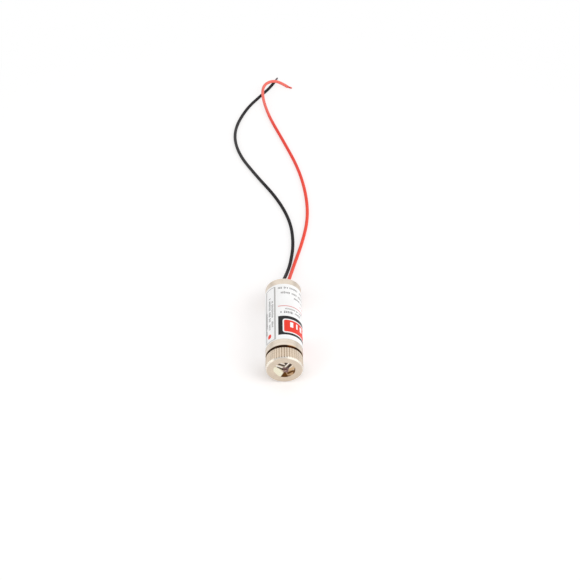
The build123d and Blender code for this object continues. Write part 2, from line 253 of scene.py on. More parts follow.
def buildStreak():
    # A soft-sided stroke between two places, both seen along the optical axis, in mm from it
    tree, given, made = newGroup("streak", "ShaderNodeTree", {
        "Start": (0, 0, 0), "End": (0, 1, 0), "Start Width": 0.3, "End Width": 0.3, "Softness": 0.12}, "Mask")
    part = splitVector(objectPlace(tree))
    rise = minus(part[2], axisHeight)
    place = joinVector(calc("DIVIDE", part[0], mm), calc("DIVIDE", rise, mm))
    reach = vectorCalc("SUBTRACT", given["End"], given["Start"])
    offset = vectorCalc("SUBTRACT", place, given["Start"])
    along = calc("DIVIDE", vectorCalc("DOT_PRODUCT", offset, reach),
                 vectorCalc("DOT_PRODUCT", reach, reach), clamp=True)
    nearest = vectorCalc("SCALE", reach, Scale=along)
    aside = vectorCalc("DISTANCE", offset, nearest)
    width = plus(times(given["Start Width"], minus(1.0, along)), times(given["End Width"], along))
    inner, outer = minus(width, given["Softness"]), plus(width, given["Softness"])
    tree.links.new(ramp(aside, outer, inner), made["Mask"])
    return tree


turningMarks, patina, edgeWear, streak = buildTurningMarks(), buildPatina(), buildEdgeWear(), buildStreak()


def strokeMask(tree, start, end, startWidth, endWidth, softness):
    # Places are across and up from the axis, in mm
    return useGroup(tree, streak, {
        "Start": start + (0,), "End": end + (0,), "Start Width": startWidth, "End Width": endWidth,
        "Softness": softness})["Mask"]


# Metals

metals = {
    "nickel": colour(240, 228, 214),
    "warmNickel": colour(233, 216, 196),
    "cutNickel": colour(255, 248, 238),
    # Tone of the painted highlights on the front edge of the ring
    "highlightNickel": colour(255, 247, 233),
    "wornToBrass": colour(222, 190, 140),
    "dullNickel": colour(222, 206, 188),
    # Brass of the thread, darkened partly by its own tarnish and partly as painted shade of the gap
    "tarnishAndShade": colour(186, 146, 98),
    # Painted shade and painted glints on the face behind the focus ring
    "shadedSeat": colour(146, 116, 88),
    "seatGlint": colour(255, 206, 148),
    "seatRimGlint": colour(255, 204, 146),
    "rawBrass": colour(226, 193, 138),
    "darkBrass": colour(122, 88, 48),
    "steel": colour(196, 196, 194),
    "tin": colour(146, 138, 140),
    "copper": colour(168, 112, 88),
    "gold": colour(228, 190, 112),
}
turnedLook = {
    "driftShare": 0.45,
    "streakShare": 0.35,
    "speckShare": 0.25,
    "edgeShare": 0.6,
    "roughnessSpread": (-0.05, 0.06),
    "speckRoughness": 0.08,
    "bumpStrength": 0.5,
}


def makeTurnedMetal(name, bright, dull, edge, roughness, marksPerMm, markDepth, seed=0.0):
    # The three tones are names in metals, and the depth of a mark is in mm
    material, tree, shader = newMaterial(name, {"Metallic": 1.0})
    look = turnedLook
    marks = useGroup(tree, turningMarks, {"Marks Per mm": marksPerMm})
    drift = useGroup(tree, patina, {"Seed": seed})
    wear = useGroup(tree, edgeWear)["Wear"]
    tone = mixColours(times(drift["Drift"], look["driftShare"]), metals[bright], metals[dull])
    tone = mixColours(ramp(marks["Streak"], 0.35, 0.7, 0.0, look["streakShare"]), tone, metals[dull])
    tone = mixColours(times(drift["Speck"], look["speckShare"]), tone, metals[dull])
    tone = mixColours(times(wear, look["edgeShare"]), tone, metals[edge])
    smoothest, roughest = [roughness + spread for spread in look["roughnessSpread"]]
    rough = plus(ramp(marks["Height"], 0.3, 0.7, smoothest, roughest),
                 times(drift["Speck"], look["speckRoughness"]))
    finishSurface(shader, tone, rough, marks["Height"], look["bumpStrength"], markDepth)
    return material


def baseTone(material):
    # The tree of a finish, its shader, and the socket that gives its tone so far
    tree = material.node_tree
    shader = tree.nodes["Principled BSDF"]
    return tree, shader, shader.inputs["Base Color"].links[0].from_socket


# Where the painted shade in the grooves and the painted highlights on the front edge lie on the ring
ringShadeAndHighlights = {
    "middle": -0.7 * mm,
    "endReach": (0.8 * mm, 0.4 * mm),
    "endSpan": (3.0 * mm, 1.4 * mm),
    "sideEnds": 0.12,
    "sideSpan": (4.5 * mm, 2.5 * mm),
    "sides": 0.5,
    "highlightReach": (0.75 * mm, 0.45 * mm),
}
# Painted highlights on the front edge of the ring, on its left and right
ringHighlightStrokes = [  # from and to, across and up from the axis, half width, softness, all in mm, and strength
    ((-5.45, 1.9), (-5.0, 3.1), 0.3, 0.25, 1.0), ((-5.0, 3.1), (-3.5, 4.65), 0.3, 0.25, 1.0),
    ((1.3, 5.6), (3.6, 4.5), 0.28, 0.2, 0.9), ((3.6, 4.5), (5.1, 2.7), 0.25, 0.2, 0.8)]


def shadeGrooves(material, dark, strength):
    # Paints shade into the grooves that the geometry tree cuts, most at their front ends near the top of the
    # ring and less towards its sides
    tree, shader, plain = baseTone(material)
    depth = addNode(tree, "ShaderNodeAttribute", attribute_name="grooveDepth")["Fac"]
    part = splitVector(objectPlace(tree))
    aside = calc("ABSOLUTE", minus(part[0], ringShadeAndHighlights["middle"]))
    atEnd = ramp(part[1], *[ringFront + reach for reach in ringShadeAndHighlights["endReach"]])
    endShade = times(atEnd, ramp(aside, *ringShadeAndHighlights["endSpan"], ringShadeAndHighlights["sideEnds"], 1.0))
    sideShade = ramp(aside, *ringShadeAndHighlights["sideSpan"], ringShadeAndHighlights["sides"] * strength, strength)
    deep = calc("MAXIMUM", times(ramp(depth, 0.25, 0.95), sideShade),
                times(ramp(depth, 0.02, 0.45), endShade))
    tree.links.new(mixColours(deep, plain, dark), shader.inputs["Base Color"])


def paintRimHighlights(material):
    # Painted highlights: bright strokes along the front edge of the ring
    tree, shader, tone = baseTone(material)
    along = splitVector(objectPlace(tree))[1]
    atEnd = ramp(along, *[ringFront + reach for reach in ringShadeAndHighlights["highlightReach"]])
    for start, end, width, softness, share in ringHighlightStrokes:
        mask = strokeMask(tree, start, end, width, width, softness)
        tone = mixColours(times(mask, share, atEnd), tone, metals["highlightNickel"])
    fillSockets(shader, {"Base Color": tone})


# Painted shade on the face behind the focus ring, and a painted glint on one patch of it
seatShadeAndGlint = {
    "rimWidth": 0.06 * mm,
    "patch": ((1.5, 5.4), (3.1, 4.7), 0.4, 0.4, 0.4),  # from and to, half widths there and softness, in mm
    "rimGlintDepth": (0.16 * mm, 0.08 * mm),
}


def paintSeatShadeAndGlint(material):
    # Painted shade on the face behind the focus ring, which the gap keeps dark, with a painted glint on one
    # patch and its rim
    tree, shader, plain = baseTone(material)
    front = barrelFront + seatShadeAndGlint["rimWidth"]
    part = splitVector(objectPlace(tree))
    radius = lengthOf(part[0], minus(part[2], axisHeight))
    onSeat = times(calc("LESS_THAN", part[1], front),
                   calc("LESS_THAN", radius, barrelRadius - seatShadeAndGlint["rimWidth"]))
    glint = strokeMask(tree, *seatShadeAndGlint["patch"])
    face = mixColours(glint, metals["shadedSeat"], metals["seatGlint"])
    atRim = times(glint, ramp(part[1], *[front + depth for depth in seatShadeAndGlint["rimGlintDepth"]]))
    rimmed = mixColours(atRim, plain, metals["seatRimGlint"])
    tree.links.new(mixColours(onSeat, rimmed, face), shader.inputs["Base Color"])


barrelPlate = makeTurnedMetal("barrelPlate", "nickel", "dullNickel", "wornToBrass", 0.30, 9.0, 0.004)
ringPlate = makeTurnedMetal("ringPlate", "warmNickel", "dullNickel", "wornToBrass", 0.28, 10.0, 0.004, 3.0)
cutEdge = makeTurnedMetal("cutEdge", "cutNickel", "nickel", "cutNickel", 0.16, 12.0, 0.001, 4.0)
# The thread and stem tones are their own tarnish and partly painted shade of the gap round them
threadBrass = makeTurnedMetal("threadBrass", "tarnishAndShade", "darkBrass", "rawBrass", 0.34, 12.0, 0.003, 5.0)
collarBrass = makeTurnedMetal("collarBrass", "rawBrass", "darkBrass", "rawBrass", 0.36, 7.0, 0.004, 6.0)
# Painted shade on the face behind the focus ring, with a painted glint
paintSeatShadeAndGlint(barrelPlate)
# Painted shade in the knurl grooves, deepest at their front ends
shadeGrooves(ringPlate, colour(150, 126, 96), 0.5)
shadeGrooves(cutEdge, colour(110, 92, 68), 1.0)
# Painted highlights on the front edge of the ring
paintRimHighlights(ringPlate)
paintRimHighlights(cutEdge)


# Tones of the cone in the face of the ring: its ground, and the painted reflections that the strokes lay over
# it
coneToneAndReflections = {
    "ground": colour(220, 202, 178),
    "cream": colour(255, 250, 226),
    "pale": colour(255, 251, 246),
    "peach": colour(255, 236, 216),
    "gold": colour(226, 190, 146),
    "sand": colour(196, 160, 122),
    "tan": colour(128, 96, 62),
    "bronze": colour(100, 64, 30),
    "olive": colour(72, 59, 34),
    "umber": colour(70, 52, 46),
    "mauve": colour(132, 104, 104),
    "dusk": colour(206, 174, 164),
}
# Painted reflections on the cone, as light and dark strokes in its colour
coneReflectionStrokes = [  # from and to, across and up from the axis, half widths there, softness, in mm, and tone
    ((2.3, -1.3), (0.9, -1.9), 1.1, 0.9, 0.5, "sand"), ((-2.8, 0.2), (-1.1, -2.5), 1.15, 0.95, 0.35, "cream"),
    ((-2.15, 1.24), (-0.4, -0.4), 0.25, 0.3, 0.12, "olive"),
    ((-2.45, 2.0), (-0.75, 0.8), 0.28, 0.24, 0.12, "pale"),
    ((-2.1, 3.0), (-0.1, 1.6), 0.3, 0.42, 0.14, "umber"),
    ((-1.15, 3.22), (0.0, 2.5), 0.2, 0.17, 0.09, "pale"),
    ((0.35, 3.5), (0.45, 2.1), 0.42, 0.2, 0.16, "umber"),
    ((1.0, 3.35), (0.7, 2.7), 0.22, 0.16, 0.12, "umber"),
    ((2.05, 2.72), (0.85, 0.4), 0.44, 0.48, 0.14, "umber"),
    ((1.38, 3.2), (0.25, 1.15), 0.19, 0.17, 0.08, "pale"),
    ((2.6, 2.15), (1.6, 0.6), 0.16, 0.13, 0.08, "peach"), ((2.85, 0.75), (1.6, -0.2), 0.4, 0.3, 0.18, "gold"),
    ((2.75, -0.62), (1.15, -1.8), 0.34, 0.36, 0.16, "bronze"),
    ((3.42, 1.0), (3.0, -1.5), 0.12, 0.26, 0.14, "bronze"),
    ((0.3, -3.15), (1.9, -2.75), 0.4, 0.15, 0.2, "tan"), ((0.1, -1.45), (0.0, -3.4), 0.3, 1.3, 0.2, "bronze"),
    ((0.95, 0.3), (0.85, -1.2), 0.4, 0.3, 0.2, "mauve"), ((-0.1, -1.15), (0.7, -1.2), 0.3, 0.3, 0.2, "mauve"),
    ((0.1, -0.78), (0.1, -0.82), 0.28, 0.28, 0.14, "dusk")]


def makeReflectionPaintedCone():
    # Bare brass, cut with one smooth pass, with painted reflections: light and dark strokes in its colour that
    # meet near the middle
    material, tree, shader = newMaterial("reflectionPaintedCone", {"Metallic": 1.0})
    marks = useGroup(tree, turningMarks, {"Marks Per mm": 14.0})
    tone = mixColours(ramp(marks["Streak"], 0.35, 0.7, 0.0, 0.2), coneToneAndReflections["ground"], coneToneAndReflections["gold"])
    for *stroke, ink in coneReflectionStrokes:
        tone = mixColours(strokeMask(tree, *stroke), tone, coneToneAndReflections[ink])
    rough = ramp(marks["Height"], 0.3, 0.7, 0.12, 0.2)
    fillSockets(shader, {"Base Color": tone, "Roughness": rough})
    return material


reflectionPaintedCone = makeReflectionPaintedCone()
print("metals ready")


# Small tools for meshes

def newPiece(name, mesh, *materials):
    piece = bpy.data.objects.new(name, mesh)
    bpy.context.scene.collection.objects.link(piece)
    for material in materials:
        piece.data.materials.append(material)
    return piece


def softenCorners(outline, reach):
    # Each corner of a closed outline gives way to a short three-point curve
    soft = []
    for before, corner, after in zip(outline[-1:] + outline[:-1], outline, outline[1:] + outline[:1]):
        corner = Vector(corner)
        legs = [Vector(before) - corner, Vector(after) - corner]
        start, end = [corner + leg.normalized() * min(reach, 0.3 * leg.length) for leg in legs]
        soft += [start, (start + end) / 4 + corner / 2, end]
    return soft


def turnOutline(name, outline, angles, closed=True):
    # Turns an outline of (place along the axis, radius) round the axis, all the way or part of it with caps
    count, last = len(outline), len(angles) - 1
    vertices = [(r * math.cos(a), y, axisHeight + r * math.sin(a)) for a in angles for y, r in outline]
    steps = [(k, (k + 1) % len(angles)) for k in range(last + closed)]
    faces = [
        (i * count + j, i * count + (j + 1) % count, after * count + (j + 1) % count, after * count + j)
        for i, after in steps for j in range(count)]
    if not closed:
        faces += [tuple(range(count)), tuple(last * count + j for j in reversed(range(count)))]
    mesh = bpy.data.meshes.new(name)
    mesh.from_pydata(vertices, [], faces)
    shell = bmesh.new()
    shell.from_mesh(mesh)
    bmesh.ops.recalc_face_normals(shell, faces=shell.faces)
    shell.to_mesh(mesh)
    shell.free()
    return mesh


def smoothPiece(name, mesh, degrees, *materials):
    # Smooth over edges that turn less than this
    mesh.shade_smooth()
    mesh.set_sharp_from_angle(angle=math.radians(degrees))
    return newPiece(name, mesh, *materials)


def runGeometryTree(name, tree, values, mesh=None):
    # Gives the mesh that a geometry tree makes, with its modifier gone
    piece = bpy.data.objects.new(name, mesh or bpy.data.meshes.new(name))
    bpy.context.scene.collection.objects.link(piece)
    modifier = piece.modifiers.new(name, "NODES")
    modifier.node_group = tree
    for item in tree.interface.items_tree:
        if item.item_type == "SOCKET" and item.in_out == "INPUT" and item.name in values:
            modifier[item.identifier] = values[item.name]
    graph = bpy.context.evaluated_depsgraph_get()
    finished = piece.evaluated_get(graph)
    made = bpy.data.meshes.new_from_object(finished, preserve_all_data_layers=True, depsgraph=graph)
    bpy.data.objects.remove(piece)
    made.name = name
    return made


def finishTree(tree, last, finish, made):
    real = addNode(tree, "GeometryNodeRealizeInstances", {"Geometry": last[0]})
    coated = addNode(tree, "GeometryNodeSetMaterial", {"Geometry": real[0], "Material": finish})
    tree.links.new(coated[0], made["Geometry"])


# Focus ring: knurled head, a cone in its face with painted reflections, and the stem that carries the lens

focusRing = {
    "headLength": 4.35 * mm,
    "frontChamfer": 0.4 * mm,
    "backChamfer": 0.1 * mm,
    "grooves": 44,
    "grooveDepth": 0.2 * mm,
    "grooveSteps": (0, 0.04, 0.16, 0.27, 0.33, 0.5, 0.67, 0.73, 0.84, 0.96),  # shares of one groove's pitch
    "recessRadius": 3.5 * mm,
    "recessDepth": 0.4 * mm,
    "throatRadius": 0.8 * mm,
    "throatLength": 0.5 * mm,
    "pocketRadius": 3.3 * mm,
    "coreRadius": 4.2 * mm,
    "pilotRadius": 4.45 * mm,
    "pilotLength": 1.6 * mm,
    "stemBreak": 0.2 * mm,
    "threadPitch": 0.5 * mm,
    "threadRidge": 0.24 * mm,
    "cornerRound": 0.03 * mm,
    "chamferSteps": 6,
    "smoothUnder": 28,  # degrees
}
headRear = ringFront + focusRing["headLength"]


def buildKnurlTree():
    # Cuts straight V grooves with soft shoulders into a turned head, and gives each part its own finish
    tree, given, made = newGroup("knurling", "GeometryNodeTree", {
        "Geometry": "Geometry", "Axis Height": axisHeight, "Crest Radius": barrelRadius, "Groove Count": 44.0,
        "Groove Depth": 0.2 * mm, "Shoulder": 0.04 * mm, "Cone Radius": 3.5 * mm, "Cone End": 0.0,
        "Chamfer Start": 0.0, "Chamfer End": 0.0, "Chamfer Radius": 5.6 * mm, "Head End": 0.0,
        "Outside": "Material", "Cone": "Material", "Chamfer": "Material", "Stem": "Material"}, "Geometry")
    part = splitVector(addNode(tree, "GeometryNodeInputPosition")[0])
    rise = minus(part[2], given["Axis Height"])
    radius = lengthOf(part[0], rise)
    turns = calc("DIVIDE", calc("ARCTAN2", rise, part[0]), math.tau)
    # Half a groove of offset puts a groove at angle zero, and 100 whole ones keep the number above zero
    phase = calc("FRACT", plus(times(turns, given["Groove Count"]), 100.5))
    pitch = calc("DIVIDE", times(given["Crest Radius"], math.tau), given["Groove Count"])
    aside = times(calc("ABSOLUTE", minus(phase, 0.5)), pitch)
    cut = calc("SMOOTH_MAX", minus(given["Groove Depth"], aside), 0.0, given["Shoulder"])
    bottom = calc("MINIMUM", radius, minus(given["Crest Radius"], cut))
    share = calc("DIVIDE", bottom, radius)
    place = joinVector(
        times(part[0], share), part[1], plus(given["Axis Height"], times(rise, share)))
    depth = calc("DIVIDE", times(cut, calc("LESS_THAN", share, 1.0)), given["Groove Depth"])
    marked = addNode(tree, "GeometryNodeStoreNamedAttribute", {
        "Geometry": given["Geometry"], "Name": "grooveDepth", "Value": depth},
        data_type="FLOAT", domain="POINT")
    grooved = addNode(tree, "GeometryNodeSetPosition", {"Geometry": marked[0], "Position": place})
    real = addNode(tree, "GeometryNodeRealizeInstances", {"Geometry": grooved[0]})
    inCone = times(calc("LESS_THAN", radius, given["Cone Radius"]),
                   calc("LESS_THAN", part[1], given["Cone End"]))
    onChamfer = times(
        calc("GREATER_THAN", part[1], given["Chamfer Start"]),
        calc("LESS_THAN", part[1], given["Chamfer End"]),
        calc("GREATER_THAN", radius, given["Chamfer Radius"]))
    onStem = calc("GREATER_THAN", part[1], given["Head End"])
    last = real[0]
    parts = {"Outside": True, "Cone": inCone, "Chamfer": onChamfer, "Stem": onStem}
    for materialName, where in parts.items():
        last = addNode(tree, "GeometryNodeSetMaterial", {
            "Geometry": last, "Selection": where, "Material": given[materialName]})[0]
    tree.links.new(last, made["Geometry"])
    return tree


def makeFocusRing():
    r = focusRing
    coneEnd = ringFront + r["recessDepth"]
    lensSeat = coneEnd + r["throatLength"]
    pilotFront = stemEnd - r["pilotLength"]
    front, back, stemBreak = r["frontChamfer"], r["backChamfer"], r["stemBreak"]
    shares = [k / r["chamferSteps"] for k in range(r["chamferSteps"] + 1)]
    outline = [(ringFront, r["recessRadius"])]
    outline += [(ringFront + front * share, barrelRadius - front * (1 - share)) for share in shares]
    outline += [
        (headRear - back, barrelRadius), (headRear, barrelRadius - back), (headRear, r["coreRadius"]),
        (pilotFront, r["coreRadius"]), (pilotFront, r["pilotRadius"]),
        (stemEnd - stemBreak, r["pilotRadius"]), (stemEnd, r["pilotRadius"] - stemBreak),
        (stemEnd, r["pocketRadius"]), (lensSeat, r["pocketRadius"]),
        (lensSeat, r["throatRadius"]), (coneEnd, r["throatRadius"])]
    angles = [
        math.tau * (groove + step) / r["grooves"]
        for groove in range(r["grooves"]) for step in r["grooveSteps"]]
    turned = turnOutline("focusRing", softenCorners(outline, r["cornerRound"]), angles)
    mesh = runGeometryTree("focusRing", buildKnurlTree(), {
        "Groove Count": float(r["grooves"]), "Groove Depth": r["grooveDepth"],
        "Cone Radius": r["recessRadius"] - r["cornerRound"], "Cone End": lensSeat - 0.02 * mm,
        "Chamfer Start": ringFront + 0.01 * mm, "Chamfer End": ringFront + front,
        "Chamfer Radius": barrelRadius - 1.1 * front, "Head End": headRear - 0.01 * mm,
        "Outside": ringPlate, "Cone": reflectionPaintedCone, "Chamfer": cutEdge, "Stem": threadBrass}, turned)
    return smoothPiece("focusRing", mesh, r["smoothUnder"])


def buildHelixTree():
    # A wire or ridge wound round the axis, thin at both ends, with a profile of any number of sides
    tree, given, made = newGroup("windings", "GeometryNodeTree", {
        "Start": (0, 0, 0), "Length": 1.0, "Radius": 1.0, "Turns": 3.0, "Wire Radius": 0.1, "Sides": 4,
        "Steps Per Turn": 72, "Run Out": 0.05, "Thinnest": 0.05, "Finish": "Material"}, "Geometry")
    coil = addNode(tree, "GeometryNodeCurveSpiral", {
        "Resolution": given["Steps Per Turn"], "Rotations": given["Turns"], "Start Radius": given["Radius"],
        "End Radius": given["Radius"], "Height": given["Length"]})
    upright = addNode(tree, "GeometryNodeSetCurveNormal", {"Curve": coil[0]}, mode="Z_UP")
    along = addNode(tree, "GeometryNodeSplineParameter")["Factor"]
    nearEnd = calc("MINIMUM", along, minus(1.0, along))
    full = calc("DIVIDE", nearEnd, given["Run Out"], clamp=True)
    size = plus(given["Thinnest"], times(minus(1.0, given["Thinnest"]), full))
    thinned = addNode(tree, "GeometryNodeSetCurveRadius", {"Curve": upright[0], "Radius": size})
    profile = addNode(tree, "GeometryNodeCurvePrimitiveCircle", {
        "Resolution": given["Sides"], "Radius": given["Wire Radius"]})
    ridge = addNode(tree, "GeometryNodeCurveToMesh", {
        "Curve": thinned[0], "Profile Curve": profile[0], "Scale": size, "Fill Caps": True})
    laid = addNode(tree, "GeometryNodeTransform", {
        "Geometry": ridge[0], "Translation": given["Start"], "Rotation": (math.pi / 2, 0, 0)})
    finishTree(tree, laid, given["Finish"], made)
    return tree


helixTree = buildHelixTree()


def makeStemThread():
    r = focusRing
    length = stemEnd - r["pilotLength"] - headRear
    mesh = runGeometryTree("stemThread", helixTree, {
        "Start": (0, headRear + length, axisHeight), "Length": length, "Radius": r["coreRadius"],
        "Turns": length / r["threadPitch"], "Wire Radius": r["threadRidge"], "Sides": 4, "Run Out": 0.04,
        "Finish": threadBrass})
    return smoothPiece("stemThread", mesh, 30)


ring = makeFocusRing()
thread = makeStemThread()
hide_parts("focus_ring")
for piece in (ring, thread):
    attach(piece, "focus_head")
print("focus ring and thread ready:", len(ring.data.polygons), "and", len(thread.data.polygons), "faces")


# Focus spring: pressed between the web of the barrel and the stem, it takes up the play of the thread

spring = {
    "wireDiameter": 0.4 * mm,
    "coilRadius": 3.9 * mm,
    "turns": 3.5,
}


def makeSpring():
    webEnd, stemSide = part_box("focus_spring")[1].y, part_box("focus_spring")[0].y
    wireRadius = spring["wireDiameter"] / 2
    steel = makeTurnedMetal("springSteel", "steel", "dullNickel", "steel", 0.28, 20.0, 0.001, 9.0)
    mesh = runGeometryTree("focusSpring", helixTree, {
        "Start": (0, webEnd - wireRadius, axisHeight), "Length": webEnd - stemSide - 2 * wireRadius,
        "Radius": spring["coilRadius"], "Turns": spring["turns"], "Wire Radius": wireRadius, "Sides": 12,
        "Run Out": 0.002, "Finish": steel})
    coil = smoothPiece("focusSpring", mesh, 40)
    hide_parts("focus_spring")
    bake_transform(coil)
    return coil


coil = makeSpring()
print("focus spring ready:", len(coil.data.polygons), "faces")


# Leads: each follows its own route, in mm, from inside the seal to its bare end

leads = {
    "diameter": 1.2 * mm,
    "blackLength": 141 * mm,
    "redLength": 142 * mm,
    "blackRoute": [
        (-1.0, 14.8, 6.08), (-1.0, 19.2, 6.08), (0.4, 24.2, 5.2), (1.4, 29.8, 2.5), (2.7, 36.4, 0.6),
        (4.0, 46.5, 0.6), (3.1, 58.5, 0.6), (-1.6, 71.5, 0.6), (-9.8, 85.3, 0.6), (-16.8, 98.8, 0.6),
        (-18.8, 112.5, 0.6), (-14.2, 127.1, 0.6), (-7.4, 137.4, 0.6), (-4.1, 142.2, 0.6), (-2.3, 146.2, 0.6)],
    "redRoute": [
        (1.0, 14.8, 6.08), (1.0, 19.2, 6.08), (2.1, 24.2, 5.2), (2.9, 29.8, 2.5), (4.2, 36.6, 0.6),
        (7.1, 47.2, 0.6), (9.5, 60.0, 0.6), (9.2, 74.0, 0.6), (6.5, 89.5, 0.6), (0.7, 107.0, 0.6),
        (-4.2, 121.0, 0.6), (-6.6, 130.6, 1.1), (-7.3, 136.2, 2.2), (-6.9, 140.4, 2.3), (-5.3, 143.3, 2.3),
        (-2.4, 144.6, 2.3), (0.6, 143.8, 1.7), (3.2, 142.4, 0.75)],
    "blackBare": 3.2 * mm,
    "redBare": 2.0 * mm,
    "bareDiameter": 0.8 * mm,
    "bareOverlap": 0.6 * mm,
    "twistLength": 1.1 * mm,  # along the strands for each radian of twist
    # Where the painted sheen and the painted light towards the bare ends lie along the leads
    "sheenStart": (74 * mm, 92 * mm),
    "sheenEnd": (130 * mm, 116 * mm),
    "litEndSpan": (112 * mm, 134 * mm),
}


def makeInsulation(name, main, deep, pale, sheenTone, litEndTone, roughness, shine, seed):
    # Soft vinyl with a faint drawn grain, a painted sheen along one stretch of its bend, and painted light
    # that pales it towards its stripped end
    material, tree, shader = newMaterial(
        name, {"Specular IOR Level": shine, "Coat Weight": 0.04, "Coat Roughness": 0.25})
    drift = useGroup(tree, patina, {"Patch Size mm": 9.0, "Speck Size mm": 0.12, "Seed": seed})
    tone = mixColours(times(drift["Drift"], 0.5), main, pale)
    along = splitVector(objectPlace(tree))[1]  # how far towards the ends of the leads
    atSheen = times(ramp(along, *leads["sheenStart"]), ramp(along, *leads["sheenEnd"]))
    tone = mixColours(atSheen, tone, sheenTone)
    tone = mixColours(ramp(along, *leads["litEndSpan"], 0.0, 0.8), tone, litEndTone)
    tone = mixColours(times(drift["Speck"], 0.3), tone, deep)
    rough = ramp(drift["Drift"], 0.0, 1.0, roughness, roughness + 0.1)
    finishSurface(shader, tone, rough, drift["Speck"], 0.15, 0.01)
    return material


# The fourth tone is a painted sheen on the bend, the fifth painted light towards the bare end
blackVinyl = makeInsulation(
    "blackVinyl", colour(28, 24, 26), colour(20, 18, 19), colour(36, 32, 34), colour(52, 50, 51),
    colour(38, 36, 38), 0.46, 0.2, 11.0)
redVinyl = makeInsulation(
    "redVinyl", colour(243, 66, 46), colour(222, 44, 32), colour(248, 88, 70), colour(240, 66, 50),
    colour(252, 128, 116), 0.42, 0.35, 12.0)


def makeLead(name, route, finish):
    line = bpy.data.curves.new(name, "CURVE")
    line.dimensions = "3D"
    line.bevel_depth = leads["diameter"] / 2
    line.bevel_resolution = 5
    line.resolution_u = 12
    line.use_fill_caps = True
    spline = line.splines.new("NURBS")
    spline.points.add(len(route) - 1)
    for point, place in zip(spline.points, route):
        point.co = [c * mm for c in place] + [1.0]
    spline.order_u = 3
    spline.use_endpoint_u = True
    line.materials.append(finish)
    lead = bpy.data.objects.new(name, line)
    bpy.context.scene.collection.objects.link(lead)
    return lead


def buildStrandTree():
    # A short bundle of twisted strands, soaked in solder and drawn to a blunt point
    tree, given, made = newGroup("tinnedStrands", "GeometryNodeTree", {
        "Start": (0, 0, 0), "End": (0, 0, 1), "Bundle Radius": 0.4 * mm, "Strands": 6.0, "Strand Depth": 0.18,
        "Twist": 3.0, "Point Share": 0.22, "Point Size": 0.55, "Finish": "Material"}, "Geometry")
    line = addNode(tree, "GeometryNodeCurvePrimitiveLine", {"Start": given["Start"], "End": given["End"]})
    fine = addNode(tree, "GeometryNodeResampleCurve", {"Curve": line[0], "Count": 28})
    along = addNode(tree, "GeometryNodeSplineParameter")["Factor"]
    twisted = addNode(tree, "GeometryNodeSetCurveTilt", {
        "Curve": fine[0], "Tilt": times(along, given["Twist"])})
    point = calc("DIVIDE", minus(1.0, along), given["Point Share"], clamp=True)
    thinned = times(minus(1.0, given["Point Size"]), calc("SQRT", point))
    size = plus(given["Point Size"], thinned)
    profile = addNode(tree, "GeometryNodeCurvePrimitiveCircle", {
        "Resolution": 48, "Radius": given["Bundle Radius"]})
    part = splitVector(addNode(tree, "GeometryNodeInputPosition")[0])
    turn = times(calc("ARCTAN2", part[1], part[0]), times(given["Strands"], 0.5))
    bulge = times(given["Strand Depth"], calc("ABSOLUTE", calc("COSINE", turn)))
    lobe = plus(minus(1.0, given["Strand Depth"]), bulge)
    lobed = addNode(tree, "GeometryNodeSetPosition", {
        "Geometry": profile[0],
        "Position": joinVector(times(part[0], lobe), times(part[1], lobe))})
    bundle = addNode(tree, "GeometryNodeCurveToMesh", {
        "Curve": twisted[0], "Profile Curve": lobed[0], "Scale": size, "Fill Caps": True})
    finishTree(tree, bundle, given["Finish"], made)
    return tree


def makeStrandMetal(name, bright, dull):
    material, tree, shader = newMaterial(name, {"Metallic": 1.0})
    drift = useGroup(tree, patina, {"Patch Size mm": 0.6, "Speck Size mm": 0.15, "Seed": 21.0})
    tone = mixColours(drift["Drift"], bright, dull)
    tone = mixColours(times(drift["Speck"], 0.5), tone, metals["copper"])
    rough = ramp(drift["Drift"], 0.0, 1.0, 0.28, 0.45)
    finishSurface(shader, tone, rough, drift["Drift"], 0.3, 0.02)
    return material


tinned = makeStrandMetal("tinnedCopper", metals["tin"], colour(108, 98, 100))
nearlyBare = makeStrandMetal("nearlyBareCopper", colour(255, 130, 118), colour(226, 98, 92))
strandTree = buildStrandTree()


def makeBareEnd(name, route, bareLength, metal):
    # Starts inside the insulation and lies level from where that ends
    end = Vector(route[-1]) * mm
    along = (end - Vector(route[-2]) * mm).normalized()
    level = Vector((along.x, along.y, 0)).normalized()
    mesh = runGeometryTree(name, strandTree, {
        "Start": end - level * leads["bareOverlap"], "End": end + level * bareLength,
        "Bundle Radius": leads["bareDiameter"] / 2, "Twist": bareLength / leads["twistLength"],
        "Finish": metal})
    return smoothPiece(name, mesh, 40)


for tint, finish, metal, slotName in (
        ("black", blackVinyl, tinned, "black_insulation"), ("red", redVinyl, nearlyBare, "red_insulation")):
    route = leads[tint + "Route"]
    lead = makeLead(tint + "Lead", route, finish)
    bare = makeBareEnd(tint + "LeadEnd", route, leads[tint + "Bare"], metal)
    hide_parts(tint + "_lead")
    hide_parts(tint + "_lead_end")
    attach(lead, "housing")
    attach(bare, "housing")
print("leads ready")


# Label: one printed sheet wrapped round the barrel, open at its seam

